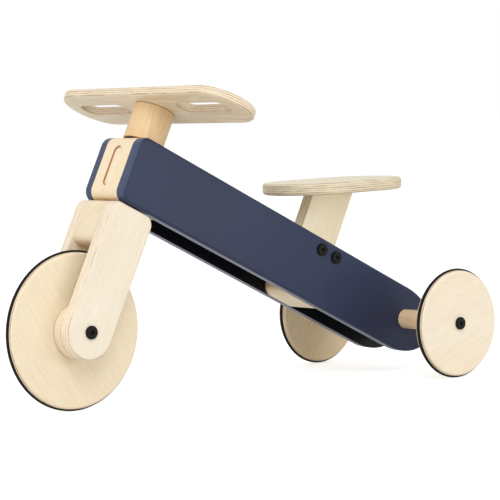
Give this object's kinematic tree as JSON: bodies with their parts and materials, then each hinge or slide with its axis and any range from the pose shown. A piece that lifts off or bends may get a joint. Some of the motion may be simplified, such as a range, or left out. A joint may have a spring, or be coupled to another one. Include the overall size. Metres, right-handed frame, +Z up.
{
  "type": "balance bike",
  "caption": "Wooden ride-on balance bike: two sloping planks, turned steering column with a handle plate, plywood fork and front wheel, seat on a leaning post, rear wheels on a dowel axle.",
  "frame": {"origin": "on the floor, under the middle of the whole object", "axes": "+Z up, front of the bike at -X, rider's left at -Y"},
  "size_m": [0.6734, 0.327, 0.3789],
  "materials": {
    "painted_wood": "navy paint, satin",
    "plywood": "birch plywood, clear satin",
    "block_wood": "solid birch, clear satin",
    "dowel_wood": "turned beech, clear satin",
    "tyre": "matt black",
    "bush": "moulded nylon",
    "bolt": "black finished steel",
    "steel": "zinc plated"
  },
  "bodies": {
    "frame": {"left_side_panel": "painted_wood", "right_side_panel": "painted_wood", "head_block": "block_wood", "head_dowel_pins": "dowel_wood", "upper_head_bush": "bush", "lower_head_bush": "bush", "steering_stop_pin": "steel", "seat_block": "block_wood", "seat_post": "plywood", "seat_plate": "plywood", "seat_bolts": "bolt", "seat_bolt_sleeves": "steel", "rear_axle_beam": "dowel_wood", "rear_axle_inserts": "steel", "rear_axle_bolts": "bolt"},
    "steering": {"steering_column": "dowel_wood", "handle_plate": "plywood", "fork_crown": "block_wood", "crown_cross_pin": "dowel_wood", "fork_left_leg": "plywood", "fork_right_leg": "plywood", "fork_dowel_pins": "dowel_wood", "front_wheel_spacers": "plywood", "front_axle_sleeve": "steel", "front_axle_bolts": "bolt"},
    "front_wheel": {"front_wheel_disc": "plywood", "front_tyre": "tyre", "front_wheel_bushes": "bush"},
    "rear_left_wheel": {"rear_left_wheel_disc": "plywood", "rear_left_tyre": "tyre", "rear_left_wheel_bush": "bush"},
    "rear_right_wheel": {"rear_right_wheel_disc": "plywood", "rear_right_tyre": "tyre", "rear_right_wheel_bush": "bush"}
  },
  "joints": [
    {"name": "steering", "type": "hinge", "parent": "frame", "child": "steering", "pos_m": [-0.14939, 0, 0.27387], "axis": [0.4399, 0, 0.898], "range_deg": [-40, 40]},
    {"name": "front_axle", "type": "hinge", "parent": "steering", "child": "front_wheel", "pos_m": [-0.24185, 0, 0.0949], "axis": [0, 1, 0], "continuous": true},
    {"name": "rear_left_axle", "type": "hinge", "parent": "frame", "child": "rear_left_wheel", "pos_m": [0.26676, -0.1308, 0.07], "axis": [0, 1, 0], "continuous": true},
    {"name": "rear_right_axle", "type": "hinge", "parent": "frame", "child": "rear_right_wheel", "pos_m": [0.26676, 0.1308, 0.07], "axis": [0, 1, 0], "continuous": true}
  ]
}
